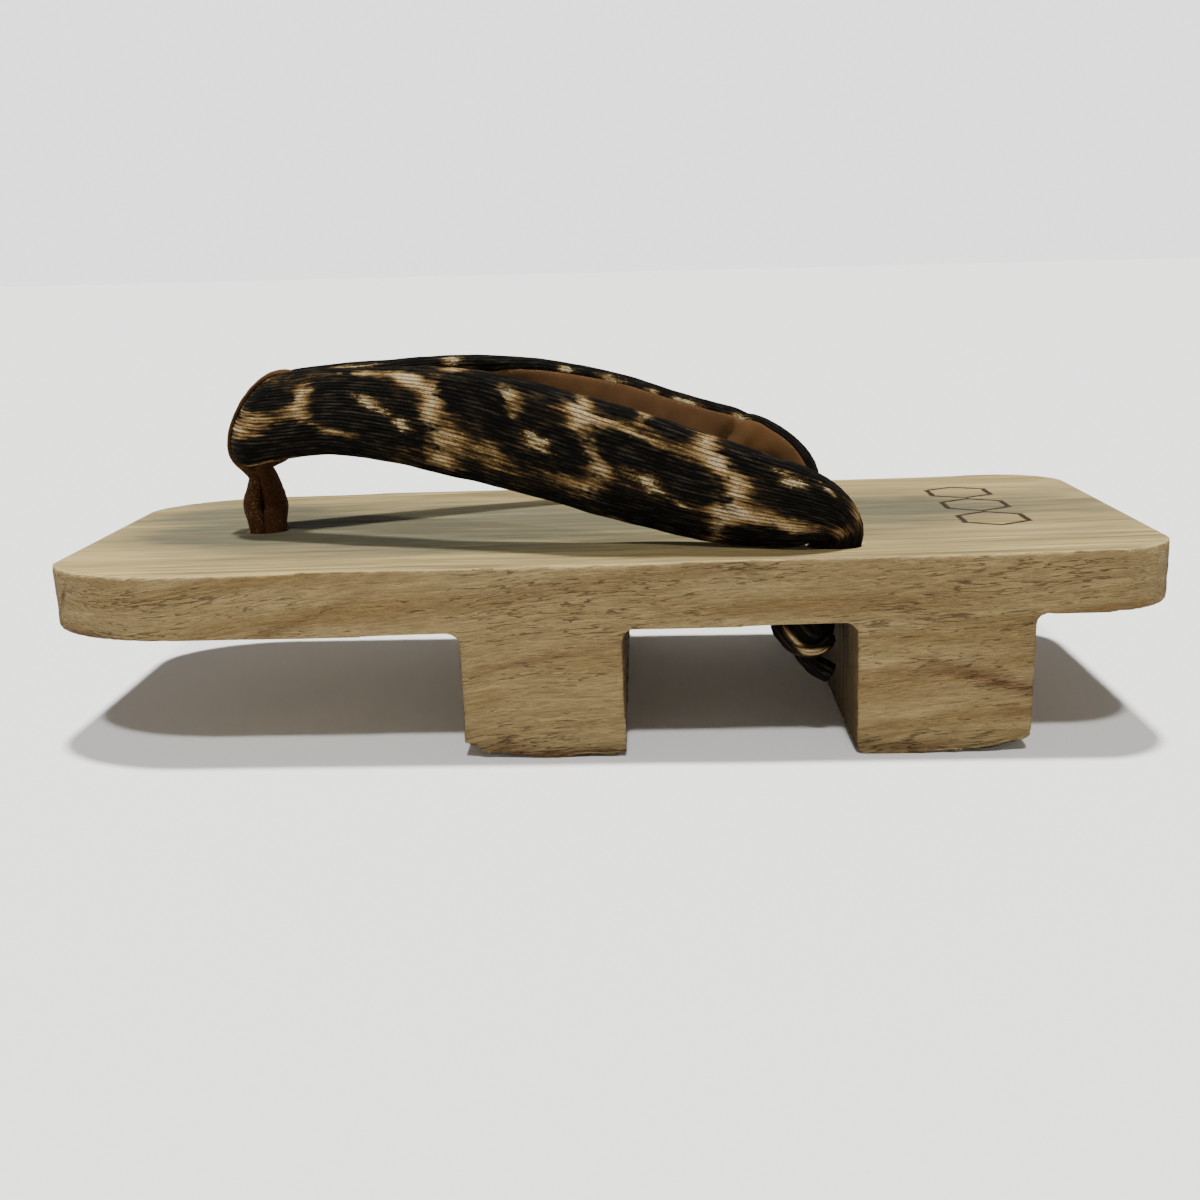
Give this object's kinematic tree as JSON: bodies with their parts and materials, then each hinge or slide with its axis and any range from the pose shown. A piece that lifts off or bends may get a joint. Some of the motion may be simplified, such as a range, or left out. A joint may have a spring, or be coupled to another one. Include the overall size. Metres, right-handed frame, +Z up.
{
  "type": "geta sandal",
  "caption": "Wooden sandal with a flat deck on two crosswise teeth, and a padded cloth thong strap that passes down through the deck and is knotted beneath.",
  "frame": {"origin": "on the floor, under the middle of the deck", "axes": "+X towards the heel along the deck, +Z up, toe towards -X"},
  "size_m": [0.2451, 0.101, 0.0813],
  "materials": {
    "paulownia": "planed on top and rough sawn at the sides, unvarnished",
    "printed_corduroy": "ribbed cloth printed with leopard spots",
    "brown_velvet": "short velvet pile"
  },
  "bodies": {
    "root": {"wooden_block": "paulownia", "strap_upper": "printed_corduroy", "toe_thong": "brown_velvet", "rear_knot_near": "printed_corduroy", "rear_knot_far": "printed_corduroy", "toe_knot": "brown_velvet"}
  },
  "joints": []
}
